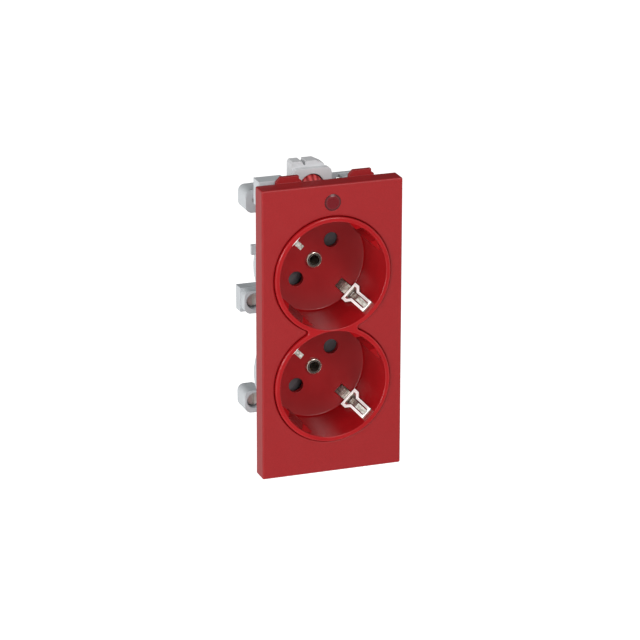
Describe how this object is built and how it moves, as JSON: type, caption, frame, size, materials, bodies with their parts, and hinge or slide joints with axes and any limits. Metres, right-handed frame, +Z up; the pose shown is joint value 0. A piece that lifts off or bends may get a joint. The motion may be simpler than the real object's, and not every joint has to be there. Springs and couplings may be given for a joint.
{
  "type": "double earthed wall socket",
  "caption": "Twin earthed socket module with red cover plate, round recesses, pilot light and screw terminals behind",
  "frame": {"origin": "centre of the plane of the cover plate's rear rim", "axes": "+X right seen from the front, +Y from the front to the back, +Z up"},
  "size_m": [0.0528, 0.0423, 0.1126],
  "materials": {
    "red_matt": "fine matt texture",
    "red_gloss": "deep glossy red",
    "red_lens": "translucent red",
    "grey_body": "light grey moulding",
    "grey_housing": "light grey moulding",
    "dark_shutter": "dark grey moulding",
    "spring_steel": "spring wire",
    "nickel_strip": "bright nickel plating",
    "chrome_rivet": "bright plating",
    "brass_bar": "plain stamped brass",
    "zinc_screw": "zinc plating",
    "lamp_glass": "clear",
    "board": "plain laminate",
    "copper_lead": "plain copper"
  },
  "bodies": {
    "base": {"busbar_line": "brass_bar", "busbar_neutral": "brass_bar", "cover_screws": "zinc_screw", "earth_bar": "brass_bar", "earth_clip_bottom": "nickel_strip", "earth_clip_top": "nickel_strip", "eyelet_bottom": "chrome_rivet", "eyelet_top": "chrome_rivet", "front_plate": "red_matt", "light_guide": "red_lens", "pilot_board": "board", "pilot_housing": "grey_housing", "pilot_lamp": "lamp_glass", "pilot_leads": "copper_lead", "rear_body": "grey_body", "rear_cover": "grey_body", "shutter_spring_bottom": "spring_steel", "shutter_spring_top": "spring_steel", "sleeve_bottom_line": "brass_bar", "sleeve_bottom_neutral": "brass_bar", "sleeve_top_line": "brass_bar", "sleeve_top_neutral": "brass_bar", "socket_insert": "red_gloss"},
    "shutter_top": {"shutter_top": "dark_shutter"},
    "shutter_bottom": {"shutter_bottom": "dark_shutter"},
    "clamp_high_left": {"clamp_high_left": "zinc_screw"},
    "screw_high_left": {"screw_high_left": "zinc_screw"},
    "clamp_high_right": {"clamp_high_right": "zinc_screw"},
    "screw_high_right": {"screw_high_right": "zinc_screw"},
    "clamp_middle_left": {"clamp_middle_left": "zinc_screw"},
    "screw_middle_left": {"screw_middle_left": "zinc_screw"},
    "clamp_middle_right": {"clamp_middle_right": "zinc_screw"},
    "screw_middle_right": {"screw_middle_right": "zinc_screw"},
    "clamp_low_left": {"clamp_low_left": "zinc_screw"},
    "screw_low_left": {"screw_low_left": "zinc_screw"},
    "clamp_low_right": {"clamp_low_right": "zinc_screw"},
    "screw_low_right": {"screw_low_right": "zinc_screw"}
  },
  "joints": [
    {"name": "shutter_top_turn", "type": "hinge", "parent": "base", "child": "shutter_top", "pos_m": [0, 0.0167, 0.02035], "axis": [0, 1, 0], "range_deg": [0, 38], "stiffness_Nm_per_rad": 0.004, "deforming": ["shutter_spring_top"]},
    {"name": "shutter_bottom_turn", "type": "hinge", "parent": "base", "child": "shutter_bottom", "pos_m": [0, 0.0167, -0.02035], "axis": [0, 1, 0], "range_deg": [0, 38], "stiffness_Nm_per_rad": 0.004, "deforming": ["shutter_spring_bottom"]},
    {"name": "clamp_high_left_travel", "type": "slide", "parent": "base", "child": "clamp_high_left", "axis": [0, 1, 0], "range_m": [-0.0009, 0.0008]},
    {"name": "screw_high_left_turn", "type": "hinge", "parent": "clamp_high_left", "child": "screw_high_left", "pos_m": [-0.02165, 0.0186, 0.0445], "axis": [0, 1, 0], "range_deg": [-500, 450]},
    {"name": "clamp_high_right_travel", "type": "slide", "parent": "base", "child": "clamp_high_right", "axis": [0, 1, 0], "range_m": [-0.0009, 0.0008]},
    {"name": "screw_high_right_turn", "type": "hinge", "parent": "clamp_high_right", "child": "screw_high_right", "pos_m": [0.02165, 0.0186, 0.0445], "axis": [0, 1, 0], "range_deg": [-500, 450]},
    {"name": "clamp_middle_left_travel", "type": "slide", "parent": "base", "child": "clamp_middle_left", "axis": [0, 1, 0], "range_m": [-0.0009, 0.0008]},
    {"name": "screw_middle_left_turn", "type": "hinge", "parent": "clamp_middle_left", "child": "screw_middle_left", "pos_m": [-0.02165, 0.0186, 0.006], "axis": [0, 1, 0], "range_deg": [-500, 450]},
    {"name": "clamp_middle_right_travel", "type": "slide", "parent": "base", "child": "clamp_middle_right", "axis": [0, 1, 0], "range_m": [-0.0009, 0.0008]},
    {"name": "screw_middle_right_turn", "type": "hinge", "parent": "clamp_middle_right", "child": "screw_middle_right", "pos_m": [0.02165, 0.0186, 0.006], "axis": [0, 1, 0], "range_deg": [-500, 450]},
    {"name": "clamp_low_left_travel", "type": "slide", "parent": "base", "child": "clamp_low_left", "axis": [0, 1, 0], "range_m": [-0.0009, 0.0008]},
    {"name": "screw_low_left_turn", "type": "hinge", "parent": "clamp_low_left", "child": "screw_low_left", "pos_m": [-0.02165, 0.0186, -0.032], "axis": [0, 1, 0], "range_deg": [-500, 450]},
    {"name": "clamp_low_right_travel", "type": "slide", "parent": "base", "child": "clamp_low_right", "axis": [0, 1, 0], "range_m": [-0.0009, 0.0008]},
    {"name": "screw_low_right_turn", "type": "hinge", "parent": "clamp_low_right", "child": "screw_low_right", "pos_m": [0.02165, 0.0186, -0.032], "axis": [0, 1, 0], "range_deg": [-500, 450]}
  ],
  "couplings": [
    {"joint": "screw_high_left_turn", "follows": "clamp_high_left_travel", "rad_per_m": 8976},
    {"joint": "screw_high_right_turn", "follows": "clamp_high_right_travel", "rad_per_m": 8976},
    {"joint": "screw_middle_left_turn", "follows": "clamp_middle_left_travel", "rad_per_m": 8976},
    {"joint": "screw_middle_right_turn", "follows": "clamp_middle_right_travel", "rad_per_m": 8976},
    {"joint": "screw_low_left_turn", "follows": "clamp_low_left_travel", "rad_per_m": 8976},
    {"joint": "screw_low_right_turn", "follows": "clamp_low_right_travel", "rad_per_m": 8976}
  ]
}
